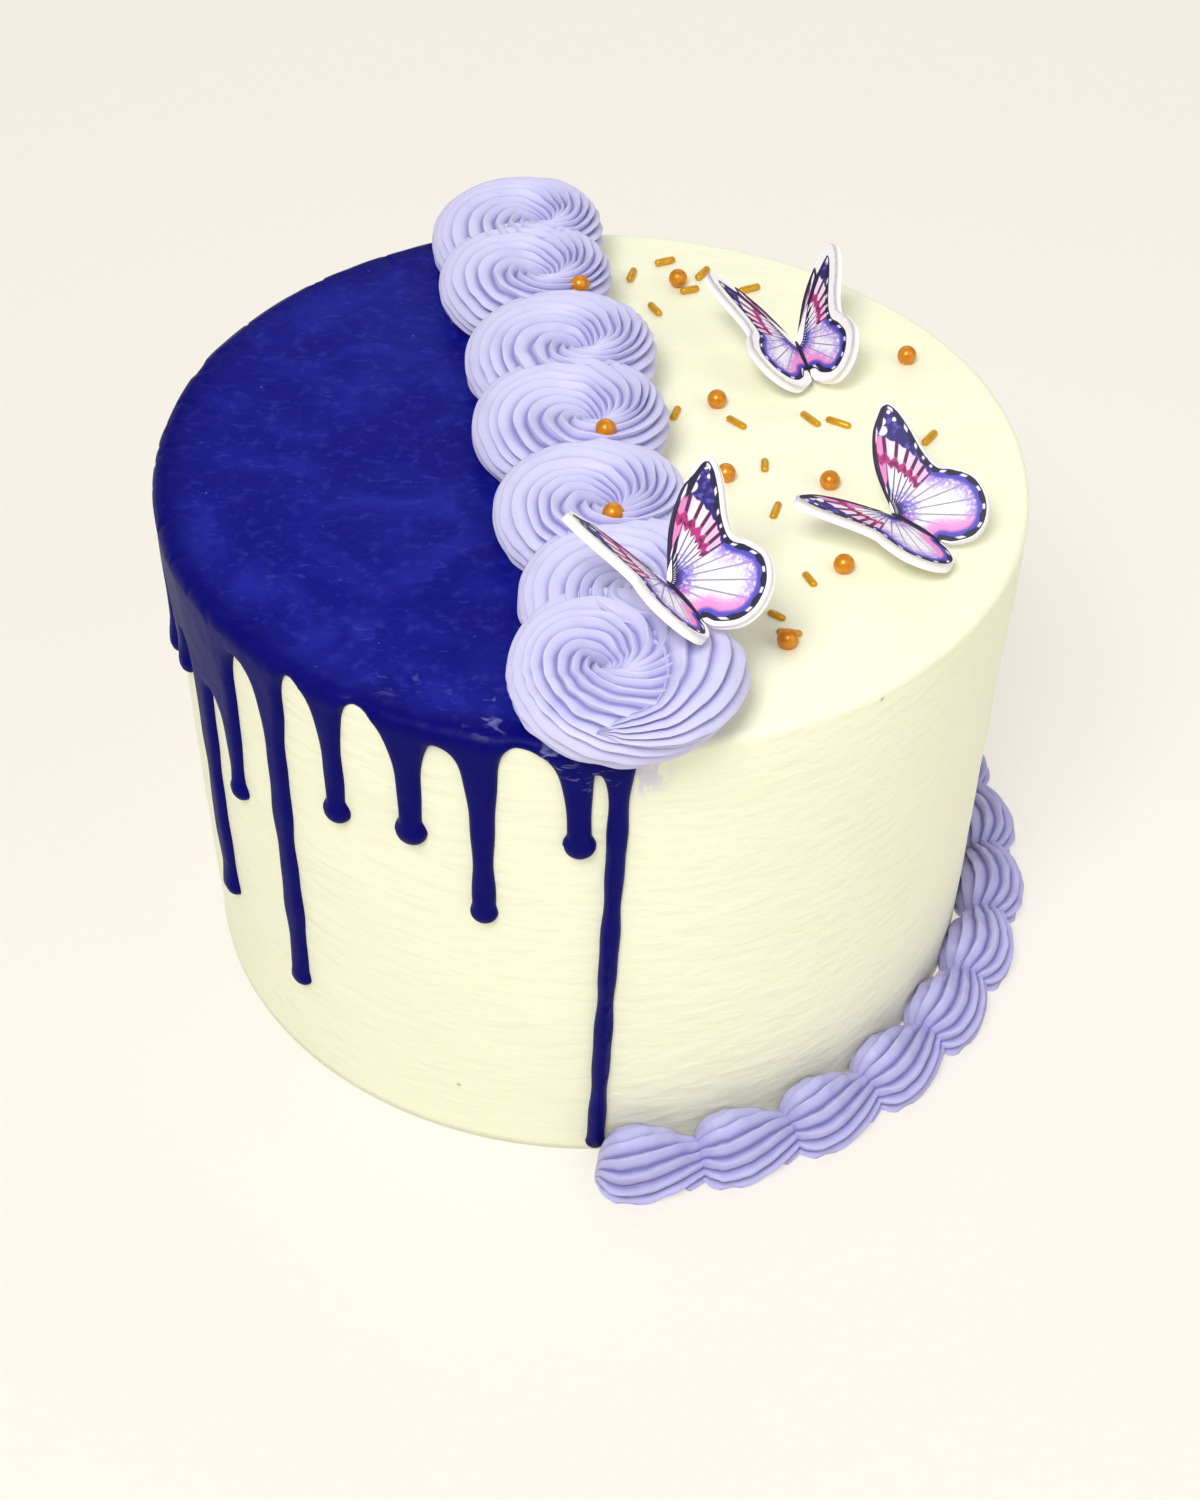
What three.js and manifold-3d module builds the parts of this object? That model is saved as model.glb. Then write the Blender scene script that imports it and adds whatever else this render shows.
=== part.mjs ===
// A drip cake: a tall round cake in cream frosting, with half of its top under blue glaze that runs
// down the side in drips, a row of piped rosettes across the top, a border of piped shells round
// half of the base, folded wafer butterflies, and gold pearls and rods scattered on the cream.
// Millimetres, +Z up. The origin is the centre of the underside, and -Y is the cake's front.
import * as THREE from "three";
import { mergeVertices } from "three/addons/utils/BufferGeometryUtils.js";
import Module from "manifold-3d";

const wasm = await Module();
wasm.setup();

// Driving dimensions
const CAKE = { topRadius: 109, baseRadius: 106, height: 144, rim: 2, sides: 64 };
const GAP = 0.3; // kept between neighbouring pieces
const SEED = 11;
const SIMPLER = 0.08; // how far the glaze's faces may move to drop needless triangles

// The row of rosettes, from the back of the cake to its front
const ROSETTES = [
  { x: -23, y: 88, radius: 22.8, turn: 5, eye: [7, -1] },
  { x: -20, y: 66, radius: 22.4, turn: 14, eye: [6.4, -7] },
  { x: -9.5, y: 29.5, radius: 24, turn: 2, eye: [6.2, -3.5] },
  { x: -6.5, y: 0, radius: 23.8, turn: 9, eye: [6, -6] },
  { x: -0.5, y: -35, radius: 22.8, turn: 17, eye: [4.6, -6] },
  { x: 8, y: -67, radius: 24.2, turn: 6, eye: [5, -5] },
  { x: 7.5, y: -93, radius: 25.2, turn: 12, eye: [-2.3, -5] },
];
const ROPE = {
  half: 11.4,
  forRadius: 24, // the rosette radius at which half holds
  rise: 10.6,
  base: -55,
  inner: 160,
  rows: 7,
  teeth: 11,
  perTooth: 3,
  ridge: 1.05,
  valley: -0.6,
  fadeEnd: 25,
  fadeOver: 90,
  eyeDip: 1,
};
const COURSE = { twist: 1.08, warp: 12, warpFrom: 10 }; // how the ridges turn on their way inwards
const RIDGED = ROPE.teeth * ROPE.perTooth; // columns of a rosette that shows its ridges
const CUT_SPARE = 0.4; // makes up for the flat faces of the coarser cutter
const ROSETTE_CUT = { grow: ROPE.ridge + GAP + CUT_SPARE, ridge: 0, columns: 18 };
// The rope's end on the front rosette: azimuths, and its inner and outer edge round the rope
const TAIL = {
  from: 2,
  to: -103,
  heights: [-0.4, 2.2, 1.36, 2.2, -0.4], // above the ring, from the outer edge to the inner
  ramp: 3,
  thinning: 0.4,
  sunk: 2,
  steps: 7,
  inner: [
    [-103, 23],
    [-94, 38],
    [-85, 49],
    [-69, 58],
    [-48, 84],
    [2, 108],
  ],
  outer: [
    [-103, 21],
    [-91, 11],
    [-78, 4],
    [-61, -5],
    [-45, -12],
    [2, -18],
  ],
};

// The glaze on the left of the row, and its drips
const GLAZE = {
  thick: 2,
  front: -84,
  back: -258,
  columns: 56,
  lap: 3.5,
  lapSwing: 2.5,
  lapWaves: 7,
  flare: 17,
  flareDecay: 2.6,
  inset: 4,
  bend: 1.6,
  bendShare: 0.4,
  edgeRun: 0.6,
  edgeThick: 0.45,
  sunk: 1.5,
  rowSunk: 1,
};
// Where the glaze ends under the row, beyond the end rosettes' centres
const ROW = { bow: 3, frontBeyond: 4, backBeyond: 6, backAside: 2 };
const DRIP = {
  below: 4, // how far under the cake's top a drip's stem starts
  shares: [0, 1 / 3, 2 / 3, 1],
  root: 1.5,
  neck: 2,
  bulbAngles: [-35, 0, 35, 65],
  step: 45,
  depth: 0.85,
};
const DRIPS = [
  { at: -86, tip: 1.5, stem: 2.3, bulb: 2.3, slant: -2.3 },
  { at: -90.9, tip: 110, stem: 2.4, bulb: 3.7, slant: 0 },
  { at: -102.7, tip: 85, stem: 2.7, bulb: 3.2, slant: -0.2 },
  { at: -112.1, tip: 106, stem: 2.7, bulb: 3.9, slant: 0 },
  { at: -123, tip: 103, stem: 2.3, bulb: 3.7, slant: 0 },
  { at: -133, tip: 31, stem: 3.1, bulb: 3.1, slant: -0.5 },
  { at: -143, tip: 85, stem: 2.4, bulb: 3.3, slant: 0 },
  { at: -151.5, tip: 37, stem: 3.6, bulb: 3.3, slant: 0 },
  { at: -159, tip: 104, stem: 2.5, bulb: 3.2, slant: 0 },
  { at: -168, tip: 97, stem: 2.4, bulb: 3.3, slant: 0 },
];
const HIDDEN_DRIPS = {
  count: 7,
  from: -180,
  step: -11.4,
  shift: 1.5,
  tip: [38, 108],
  stem: [2.2, 3],
  swell: [1.15, 1.5],
  slant: 0.4,
};

// The border of shells, piped anticlockwise round the right half of the base
const SHELLS = {
  count: 15,
  from: -88,
  to: 102,
  half: 9.2,
  height: 14.5,
  low: 0.3,
  ridges: 7,
  ridge: 0.8,
  sweepFrom: -20,
  sweep: 220,
  nose: -0.03,
  tip: 1.15,
  endLevel: 0.21,
};
const SHELL_ROWS = [
  { share: 0.04, size: 0.5 },
  { share: 0.2, size: 0.86 },
  { share: 0.45, size: 1 },
  { share: 0.75, size: 0.86 },
  { share: 1.05, size: 0.6 },
];
const SHELL_CUT = { grow: SHELLS.ridge + GAP, ridge: 0, ridges: 3 };

// A butterfly's wing: distances forward along the fold line and out from it
const WING = {
  fore: [
    [9, 7],
    [14.2, 13.6],
    [17, 20.5],
    [16, 23.4],
    [12.5, 23.2],
    [7.6, 21],
    [1.5, 17.6],
    [-3.2, 16.2],
  ],
  hind: [
    [-6.5, 17.6],
    [-12.3, 18.6],
    [-17.9, 15.6],
    [-20.8, 10.5],
    [-20.4, 5.5],
    [-17, 1.5],
  ],
  body: -14.5,
  root: 0.5,
  thick: 2.2,
};
const WING_BODY = { radius: 1, caps: 2, sides: 8 };
const BUTTERFLIES = [
  {
    name: "butterfly_back",
    at: [52.1, 47.2, 148.8],
    heading: 105.4,
    pitch: 9.5,
    spread: { left: 58, right: 36 },
    reach: { left: 1.04, right: 0.94 },
  },
  {
    name: "butterfly_right",
    at: [71.8, -28.1, 149.4],
    heading: 146,
    pitch: 11,
    spread: { left: 68.5, right: 50 },
    reach: { left: 1, right: 0.97 },
  },
  {
    name: "butterfly_front",
    at: [16.2, -80.1, 168.9],
    heading: 126.4,
    pitch: 11,
    spread: { left: 48.5, right: 56 },
    reach: { left: 1, right: 1.1 },
  },
];

// Pearls and rods on the cream: place, and for a rod its length and direction
const PEARL_RADIUS = 2.55;
const PEARL_SIT = 0.8; // height of a pearl's centre over the cake, as a share of its radius
const PEARLS = [
  [21.4, 81.7],
  [81.8, 45.8],
  [30.9, 23.6],
  [32.4, -8.5],
  [58.2, -10.6],
  [59.7, -44],
  [45.1, -72.2],
];
const ROSETTE_PEARLS = [
  { on: 1, x: -5.3, y: 51.8, z: 162 },
  { on: 3, x: 2.3, y: -15.4, z: 163.6 },
  { on: 4, x: 4.4, y: -48.9, z: 163.6 },
];
const ROD_RADIUS = 1;
const ROD_SIT = 0.6;
const ROD_SIDES = 6;
const RODS = [
  [8.6, 85.3, 5.5, 76],
  [17.9, 92.7, 5.6, 24],
  [28.3, 86.8, 6, 60],
  [24.6, 78.2, 5, 20],
  [15, 68, 5.5, -61],
  [41.1, 79.3, 6, 27],
  [20.2, 19, 5, 74],
  [35.8, 15.3, 6, -45],
  [54.9, 17.5, 6.5, -52],
  [62, 16.2, 6.5, -29],
  [42.4, -2.9, 4.5, -92],
  [84.9, 10.4, 6, -123],
  [44.4, -21.6, 6, -106],
  [51.4, -48.4, 5, -65],
  [43, -62.1, 4.2, -36],
  [45.7, -68.2, 5.5, -7],
];

const LOOKS = {
  cream: { color: 0xf4f2d4, roughness: 0.55 },
  glaze: { color: 0x14147a, roughness: 0.25 },
  rosette: { color: 0xc6c0ee, roughness: 0.6 },
  shell: { color: 0xada8df, roughness: 0.6 },
  wafer: { color: 0xf7f3f5, roughness: 0.7 },
};

const radians = THREE.MathUtils.degToRad;
const group = new THREE.Group();

// Random draws that come out the same each time
let state = SEED;
function random(low, high) {
  state = (state * 16807) % 2147483647;
  return low + ((high - low) * state) / 2147483647;
}

function polar(radius, degrees, z) {
  const angle = radians(degrees);
  return new THREE.Vector3(radius * Math.cos(angle), radius * Math.sin(angle), z);
}

function sideRadius(z) {
  return CAKE.baseRadius + ((CAKE.topRadius - CAKE.baseRadius) * z) / CAKE.height;
}

// Booleans on closed geometries
function solidOf(geometry) {
  const bare = geometry.clone();
  bare.deleteAttribute("normal");
  bare.deleteAttribute("uv");
  const merged = mergeVertices(bare, 1e-4);
  const mesh = new wasm.Mesh({
    numProp: 3,
    vertProperties: new Float32Array(merged.attributes.position.array),
    triVerts: new Uint32Array(merged.index.array),
  });
  return new wasm.Manifold(mesh);
}

function geometryOf(solid) {
  const mesh = solid.getMesh();
  const geometry = new THREE.BufferGeometry();
  geometry.setAttribute("position", new THREE.BufferAttribute(mesh.vertProperties, 3));
  geometry.setIndex(new THREE.BufferAttribute(mesh.triVerts, 1));
  geometry.computeVertexNormals();
  return geometry;
}

function largestPiece(solid) {
  const pieces = solid.decompose();
  pieces.sort((a, b) => b.volume() - a.volume());
  return pieces[0];
}

function addPiece(name, solid, look) {
  const material = new THREE.MeshStandardMaterial({ ...look, metalness: 0 });
  const mesh = new THREE.Mesh(geometryOf(solid), material);
  mesh.name = name;
  group.add(mesh);
}

function geometryFrom(points, triangles) {
  const geometry = new THREE.BufferGeometry().setFromPoints(points);
  geometry.setIndex(triangles);
  return geometry;
}

// A closed solid through rings of points with an end point beyond the first and the last ring
function loft(start, rings, end) {
  const count = rings[0].length;
  const points = [start, ...rings.flat(), end];
  const last = points.length - 1;
  const triangles = [];
  for (let i = 0; i < count; i++) {
    const next = (i + 1) % count;
    triangles.push(0, 1 + next, 1 + i);
    for (let j = 0; j + 1 < rings.length; j++) {
      const low = 1 + j * count;
      const high = low + count;
      triangles.push(low + i, low + next, high + next, low + i, high + next, high + i);
    }
    triangles.push(last - count + i, last - count + next, last);
  }
  return solidOf(geometryFrom(points, triangles));
}

// A closed sheet between two grids of points that share their layout
function sheet(front, back) {
  const rows = front.length;
  const columns = front[0].length;
  const points = [...front.flat(), ...back.flat()];
  const offset = rows * columns;
  const triangles = [];
  const quad = (a, b, c, d) => triangles.push(a, b, c, a, c, d);
  for (let j = 0; j + 1 < rows; j++) {
    for (let i = 0; i + 1 < columns; i++) {
      const at = j * columns + i;
      quad(at, at + 1, at + columns + 1, at + columns);
      quad(offset + at, offset + at + columns, offset + at + columns + 1, offset + at + 1);
    }
  }
  for (let i = 0; i + 1 < columns; i++) {
    const far = (rows - 1) * columns + i;
    quad(i, offset + i, offset + i + 1, i + 1);
    quad(far, far + 1, offset + far + 1, offset + far);
  }
  for (let j = 0; j + 1 < rows; j++) {
    const near = j * columns;
    const far = near + columns - 1;
    quad(near, near + columns, offset + near + columns, offset + near);
    quad(far, offset + far, offset + far + columns, far + columns);
  }
  return solidOf(geometryFrom(points, triangles));
}

// The frosted cake, or its form with all faces moved out by grow
function cakeForm(grow) {
  const { topRadius, baseRadius, height, rim, sides } = CAKE;
  const profile = [new THREE.Vector2(0, -grow), new THREE.Vector2(baseRadius + grow, -grow)];
  for (const angle of [0, 45, 90]) {
    const x = topRadius - rim + (rim + grow) * Math.cos(radians(angle));
    const y = height - rim + (rim + grow) * Math.sin(radians(angle));
    profile.push(new THREE.Vector2(x, y));
  }
  profile.push(new THREE.Vector2(0, height + grow));
  const lathe = new THREE.LatheGeometry(profile, sides);
  lathe.rotateX(Math.PI / 2);
  return solidOf(lathe);
}

function pearlAt(x, y, z) {
  const pearl = new THREE.OctahedronGeometry(PEARL_RADIUS, 1);
  pearl.translate(x, y, z);
  return solidOf(pearl);
}

function rodAt([x, y, length, degrees]) {
  const rod = new THREE.CylinderGeometry(ROD_RADIUS, ROD_RADIUS, length, ROD_SIDES);
  rod.rotateZ(radians(degrees) - Math.PI / 2);
  rod.translate(x, y, CAKE.height + ROD_RADIUS * ROD_SIT);
  return solidOf(rod);
}

function cakeBody() {
  let body = cakeForm(0);
  for (const [x, y] of PEARLS) {
    body = body.add(pearlAt(x, y, CAKE.height + PEARL_RADIUS * PEARL_SIT));
  }
  for (const rod of RODS) {
    body = body.add(rodAt(rod));
  }
  return body;
}

// A point on the cake's surface: run is the way past the start of the rim's rounding, first
// across the top (negative), then round the rim and down the side
function onSurface(degrees, run, out) {
  const { topRadius, height, rim } = CAKE;
  const arc = (Math.PI / 2) * rim;
  if (run <= 0) return polar(topRadius - rim + run, degrees, height + out);
  if (run < arc) {
    const lift = Math.PI / 2 - run / rim;
    const radius = topRadius - rim + (rim + out) * Math.cos(lift);
    return polar(radius, degrees, height - rim + (rim + out) * Math.sin(lift));
  }
  const z = height - rim - (run - arc);
  return polar(sideRadius(z) + out, degrees, z);
}

// All drips, with seeded ones where the photo does not look
function allDrips() {
  const drips = [...DRIPS];
  const hidden = HIDDEN_DRIPS;
  for (let i = 0; i < hidden.count; i++) {
    const stem = random(...hidden.stem);
    drips.push({
      at: hidden.from + i * hidden.step + random(-hidden.shift, hidden.shift),
      tip: random(...hidden.tip),
      stem,
      bulb: stem * random(...hidden.swell),
      slant: random(-hidden.slant, hidden.slant),
    });
  }
  return drips;
}
const drips = allDrips();

// How far the glaze laps over the rim: little between drips, flaring into each of them
function lapAt(degrees) {
  let lap = GLAZE.lap + GLAZE.lapSwing * Math.sin(radians(degrees * GLAZE.lapWaves));
  for (const { at, stem } of drips) {
    const away = Math.abs(radians(degrees - at)) * CAKE.topRadius - stem;
    lap = Math.max(lap, GLAZE.flare * Math.exp(-Math.max(away, 0) / GLAZE.flareDecay));
  }
  return lap;
}

// Where the glaze ends below the middle of the row of rosettes
function rowPoint(share, z) {
  const front = ROSETTES.at(-1);
  const back = ROSETTES[0];
  const x = THREE.MathUtils.lerp(front.x, back.x - ROW.backAside, share);
  const y = THREE.MathUtils.lerp(front.y - ROW.frontBeyond, back.y + ROW.backBeyond, share);
  const bow = ROW.bow * Math.sin(Math.PI * share);
  return new THREE.Vector3(x + bow, y, z);
}

function glazeSkirt(grow) {
  const { thick, front, back, columns, inset, bend, bendShare, edgeRun, edgeThick, sunk } = GLAZE;
  const top = [];
  const under = [];
  const out = thick + grow;
  for (let i = 0; i <= columns; i++) {
    const share = i / columns;
    const degrees = THREE.MathUtils.lerp(front + grow / 2, back - grow / 2, share);
    const lap = lapAt(degrees) + grow;
    const runs = [-inset, 0, Math.min(bend, lap * bendShare), lap - edgeRun];
    const edge = rowPoint(share, 0);
    edge.x += grow;
    top.push([
      new THREE.Vector3(edge.x, edge.y, CAKE.height + out),
      ...runs.map((run) => onSurface(degrees, run, out)),
      onSurface(degrees, lap, out * edgeThick),
    ]);
    under.push([
      new THREE.Vector3(edge.x, edge.y, CAKE.height - GLAZE.rowSunk),
      ...runs.map((run) => onSurface(degrees, run, -sunk)),
      onSurface(degrees, lap, -sunk),
    ]);
  }
  return sheet(under, top);
}

// One drip: a half-round stem that ends in a rounder bulb
function dripForm({ at, tip, stem, bulb, slant }, grow) {
  const start = CAKE.height - DRIP.below;
  const bulbCentre = tip + bulb;
  const rows = DRIP.shares.map((share) => ({
    z: THREE.MathUtils.lerp(start, bulbCentre + bulb * DRIP.neck, share),
    half: stem * (share === 0 ? DRIP.root : 1),
  }));
  for (const angle of DRIP.bulbAngles) {
    const half = Math.max(bulb * Math.cos(radians(angle)), angle < 0 ? stem : 0);
    rows.push({ z: bulbCentre - bulb * Math.sin(radians(angle)), half });
  }
  const rings = rows.map(({ z, half }) => {
    const share = (start - z) / (start - tip);
    const radius = sideRadius(z);
    const turn = (radius * Math.PI) / 180;
    const middle = at + slant * share;
    const ring = [];
    for (let angle = 0; angle <= 180; angle += DRIP.step) {
      const across = (half + grow) * Math.cos(radians(angle));
      const depth = (half * DRIP.depth + grow) * Math.sin(radians(angle));
      ring.push(polar(radius + GAP + depth, middle + across / turn, z));
    }
    return ring.reverse();
  });
  const first = polar(sideRadius(start) + GAP + stem / 2, at, start + grow);
  const last = polar(sideRadius(tip) + GAP + bulb / 3, at + slant, tip - grow);
  return loft(last, rings.reverse(), first);
}

function glaze() {
  let solid = glazeSkirt(0).subtract(cakeForm(GAP));
  for (const drip of drips) {
    solid = solid.add(dripForm(drip, 0));
  }
  return largestPiece(solid.simplify(SIMPLER));
}

// The azimuth at which a rosette's ridge passes an angle round the rope
function ridgeAzimuth(start, around) {
  const even = start - COURSE.twist * around;
  return even + COURSE.warp * Math.sin(radians(even - COURSE.warpFrom));
}

// A point on a rosette's ring, out from the rope's plain surface by swell
function ringPoint({ x, y, radius, eye }, degrees, around, swell) {
  const half = ROPE.half * (radius / ROPE.forRadius);
  const lean = THREE.MathUtils.smoothstep(around, 0, ROPE.inner);
  const out = radius - half + (half + swell) * Math.cos(radians(around));
  const level = ROPE.rise * -Math.sin(radians(ROPE.base));
  const up = level + (ROPE.rise + swell) * Math.sin(radians(around));
  const middle = new THREE.Vector3(x + eye[0] * lean, y + eye[1] * lean, 0);
  return polar(out, degrees, CAKE.height + GAP + up).add(middle);
}

// A rosette: a ridged rope piped once round a centre, so each ridge turns as it runs inwards
function rosetteForm(rosette, { grow = 0, ridge = ROPE.ridge, columns = RIDGED } = {}) {
  const { base, inner, rows, perTooth, valley, fadeEnd, fadeOver } = ROPE;
  const rings = [];
  for (let j = 0; j < rows; j++) {
    const around = THREE.MathUtils.lerp(base, inner, j / (rows - 1));
    const fade = Math.min(1, (inner + fadeEnd - around) / fadeOver);
    const ring = [];
    for (let i = 0; i < columns; i++) {
      const wave = ridge * fade * (i % perTooth === 0 ? 1 : valley);
      const degrees = ridgeAzimuth(rosette.turn + (i * 360) / columns, around);
      ring.push(ringPoint(rosette, degrees, around, wave + grow));
    }
    rings.push(ring);
  }
  for (const point of rings[0]) {
    point.z = CAKE.height + GAP - grow;
  }
  const low = new THREE.Vector3(rosette.x, rosette.y, CAKE.height + GAP - grow);
  const high = ringPoint(rosette, 0, ROPE.inner, 0);
  high.set(rosette.x + rosette.eye[0], rosette.y + rosette.eye[1], high.z - ROPE.eyeDip);
  return loft(low, rings, high);
}

// A value read between the pairs of a line whose first numbers rise
function between(line, at) {
  const next = line.findIndex(([place]) => place >= at);
  if (next <= 0) return line[0][1];
  const [a, b] = [line[next - 1], line[next]];
  return THREE.MathUtils.mapLinear(at, a[0], b[0], a[1], b[1]);
}

// The rope's end on the front rosette: a ridged band on its ring that narrows to a point
function rosetteTail(rosette) {
  const { from, to, heights, ramp, thinning, sunk, steps, inner, outer } = TAIL;
  const top = [];
  const under = [];
  for (let j = 0; j <= steps; j++) {
    const share = j / steps;
    const degrees = THREE.MathUtils.lerp(from, to, share);
    const rise = Math.min(share * ramp, 1) * (1 - share * thinning);
    const edges = [between(outer, degrees), between(inner, degrees)];
    const row = heights.map((height, i) => {
      const around = THREE.MathUtils.lerp(...edges, i / (heights.length - 1));
      return [around, height * rise];
    });
    top.push(row.map(([around, swell]) => ringPoint(rosette, degrees, around, swell)));
    under.push(row.map(([around]) => ringPoint(rosette, degrees, around, -sunk)));
  }
  return sheet(top, under);
}

// A wing's outline, from the front of the fold line round to its back
function wingOutline(side, reach) {
  const at = ([along, out]) => new THREE.Vector2(along, out * reach * side);
  const start = new THREE.Vector2(0, -WING.root * side);
  const shape = new THREE.Shape([start, ...WING.fore.map(at), ...WING.hind.map(at)]);
  shape.lineTo(WING.body, -WING.root * side);
  return shape;
}

// A butterfly: two flat wings that meet at a fold line, with a slim body along it
function butterflyForm({ at, heading, pitch, spread, reach }) {
  const wing = (side, angle, stretch) => {
    const options = { depth: WING.thick, bevelEnabled: false };
    const plate = new THREE.ExtrudeGeometry(wingOutline(side, stretch), options);
    plate.translate(0, 0, -WING.thick);
    plate.rotateX(side * radians(90 - angle));
    return solidOf(plate);
  };
  const { radius, caps, sides } = WING_BODY;
  const body = new THREE.CapsuleGeometry(radius, -WING.body - 2 * radius, caps, sides);
  body.rotateZ(Math.PI / 2);
  body.translate(WING.body / 2, 0, 0);
  const wings = wing(1, spread.left, reach.left).add(wing(-1, spread.right, reach.right));
  const geometry = geometryOf(wings.add(solidOf(body)));
  geometry.rotateY(radians(-pitch));
  geometry.rotateZ(radians(heading));
  geometry.translate(...at);
  return solidOf(geometry);
}

// One shell of the border: a ridged swelling that narrows to a tail under the next shell
function shellForm(index, { grow = 0, ridge = SHELLS.ridge, ridges = SHELLS.ridges } = {}) {
  const { count, from, to, half, height, low, sweepFrom, sweep } = SHELLS;
  const pitch = (to - from) / count;
  const head = from + index * pitch;
  const rings = SHELL_ROWS.map(({ share, size }) => {
    const degrees = head + share * pitch;
    const ring = [];
    for (let i = 0; i <= ridges * 2; i++) {
      const angle = sweepFrom + (i * sweep) / (ridges * 2);
      const wave = ridge * (i % 2 ? 1 : -1) * size + grow;
      const across = (half * size + wave) * Math.cos(radians(angle));
      const tall = height * size;
      const up = tall * low + (tall * (1 - low) + wave) * Math.sin(radians(angle));
      const radius = CAKE.baseRadius + half + across;
      ring.push(polar(Math.max(radius, sideRadius(up) + GAP), degrees, Math.max(up, 0)));
    }
    ring[0].z = 0;
    ring[ridges * 2].z = 0;
    return ring;
  });
  const level = height * SHELLS.endLevel;
  const first = polar(CAKE.baseRadius + half, head + pitch * SHELLS.nose - grow / 2, level);
  const last = polar(CAKE.baseRadius + half, head + pitch * SHELLS.tip, level);
  return loft(first, rings.map((ring) => ring.reverse()), last);
}

addPiece("cake_body", cakeBody(), LOOKS.cream);
addPiece("drip_glaze", glaze(), LOOKS.glaze);

const skirtCutter = glazeSkirt(GAP);
for (const [index, rosette] of ROSETTES.entries()) {
  let solid = rosetteForm(rosette);
  if (index === ROSETTES.length - 1) solid = solid.add(rosetteTail(rosette));
  for (const pearl of ROSETTE_PEARLS.filter(({ on }) => on === index)) {
    solid = solid.add(pearlAt(pearl.x, pearl.y, pearl.z));
  }
  solid = solid.subtract(skirtCutter);
  for (const nearer of ROSETTES.slice(index + 1, index + 3)) {
    solid = solid.subtract(rosetteForm(nearer, ROSETTE_CUT));
  }
  addPiece(`rosette_${index + 1}`, largestPiece(solid), LOOKS.rosette);
}

for (let index = 0; index < SHELLS.count; index++) {
  let solid = shellForm(index);
  if (index + 1 < SHELLS.count) solid = solid.subtract(shellForm(index + 1, SHELL_CUT));
  if (index === 0) solid = solid.subtract(dripForm(drips[0], GAP));
  addPiece(`shell_${index + 1}`, largestPiece(solid), LOOKS.shell);
}

for (const butterfly of BUTTERFLIES) {
  addPiece(butterfly.name, butterflyForm(butterfly), LOOKS.wafer);
}

export default group;
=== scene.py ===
# A drip cake: cream frosting, blue glaze with drips, piped rosettes and shells, wafer butterflies,
# and gold sugar pearls and rods. Sizes are in millimetres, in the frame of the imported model.
import math

import bpy
import numpy as np
from mathutils import Matrix, Vector
from mathutils.geometry import delaunay_2d_cdt
from mathutils.kdtree import KDTree


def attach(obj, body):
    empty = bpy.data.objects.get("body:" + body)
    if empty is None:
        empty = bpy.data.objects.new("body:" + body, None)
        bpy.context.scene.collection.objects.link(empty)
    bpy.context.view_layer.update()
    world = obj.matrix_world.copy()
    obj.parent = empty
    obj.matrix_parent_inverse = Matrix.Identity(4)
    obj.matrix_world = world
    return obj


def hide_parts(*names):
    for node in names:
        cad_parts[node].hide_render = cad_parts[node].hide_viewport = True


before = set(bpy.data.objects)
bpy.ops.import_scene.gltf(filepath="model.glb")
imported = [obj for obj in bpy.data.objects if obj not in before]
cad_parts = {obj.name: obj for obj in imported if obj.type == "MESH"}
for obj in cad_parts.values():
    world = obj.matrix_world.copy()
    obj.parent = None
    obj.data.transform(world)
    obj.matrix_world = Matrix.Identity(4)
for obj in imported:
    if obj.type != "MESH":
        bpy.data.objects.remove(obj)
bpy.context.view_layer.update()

MM = 0.001
GROOVE = 0.75  # where a groove lies between two crests
SEED = 11

# Driving dimensions, as in the model
TOP_RADIUS = 109
BASE_RADIUS = 106
HEIGHT = 144
RIM = 2
GAP = 0.3

# The row of rosettes, from back to front: x, y, radius, turn, and how far its eye lies off its middle
ROSETTES = [
    (-23, 88, 22.8, 5, 7, -1),
    (-20, 66, 22.4, 14, 6.4, -7),
    (-9.5, 29.5, 24, 2, 6.2, -3.5),
    (-6.5, 0, 23.8, 9, 6, -6),
    (-0.5, -35, 22.8, 17, 4.6, -6),
    (8, -67, 24.2, 6, 5, -5),
    (7.5, -93, 25.2, 12, -2.3, -5),
]
ROPE = dict(half=11.4, for_radius=24, rise=10.6, inside_rise=7.6, teeth=11, ridge=1.05, base=-55,
            inner=160, fade_end=30, fade_over=80, per_tooth=26, rows=104, eye_dip=0.6)
# How the ridges turn on their way inwards: evenly, and drawn together on one side
COURSE = dict(twist=1.9, warp=15, warp_from=10)
RIDGE_WANDER = ((2, 4.5), (3, 3), (5, 1.2))  # unevenness of the ridges: waves round, and degrees
# The rope's end on the front rosette: azimuths, and its inner and outer edge round the rope
TAIL = dict(start=40, end=-103, ridges=6, thick=2.1, ridge=0.85, sunk=1.6, rows=110, per_ridge=16,
            inner=((-103, 23), (-94, 38), (-85, 49), (-69, 58), (-48, 84), (-20, 104), (40, 118)),
            outer=((-103, 21), (-91, 11), (-78, 4), (-61, -5), (-45, -12), (-20, -16), (40, -20)))

# The glaze: angles of its two ends, thickness, and how the arches between drips widen
GLAZE = dict(front=-84, back=-258, thick=2, arch_decay=11, arch_share=0.22, slope=0.35)
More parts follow.
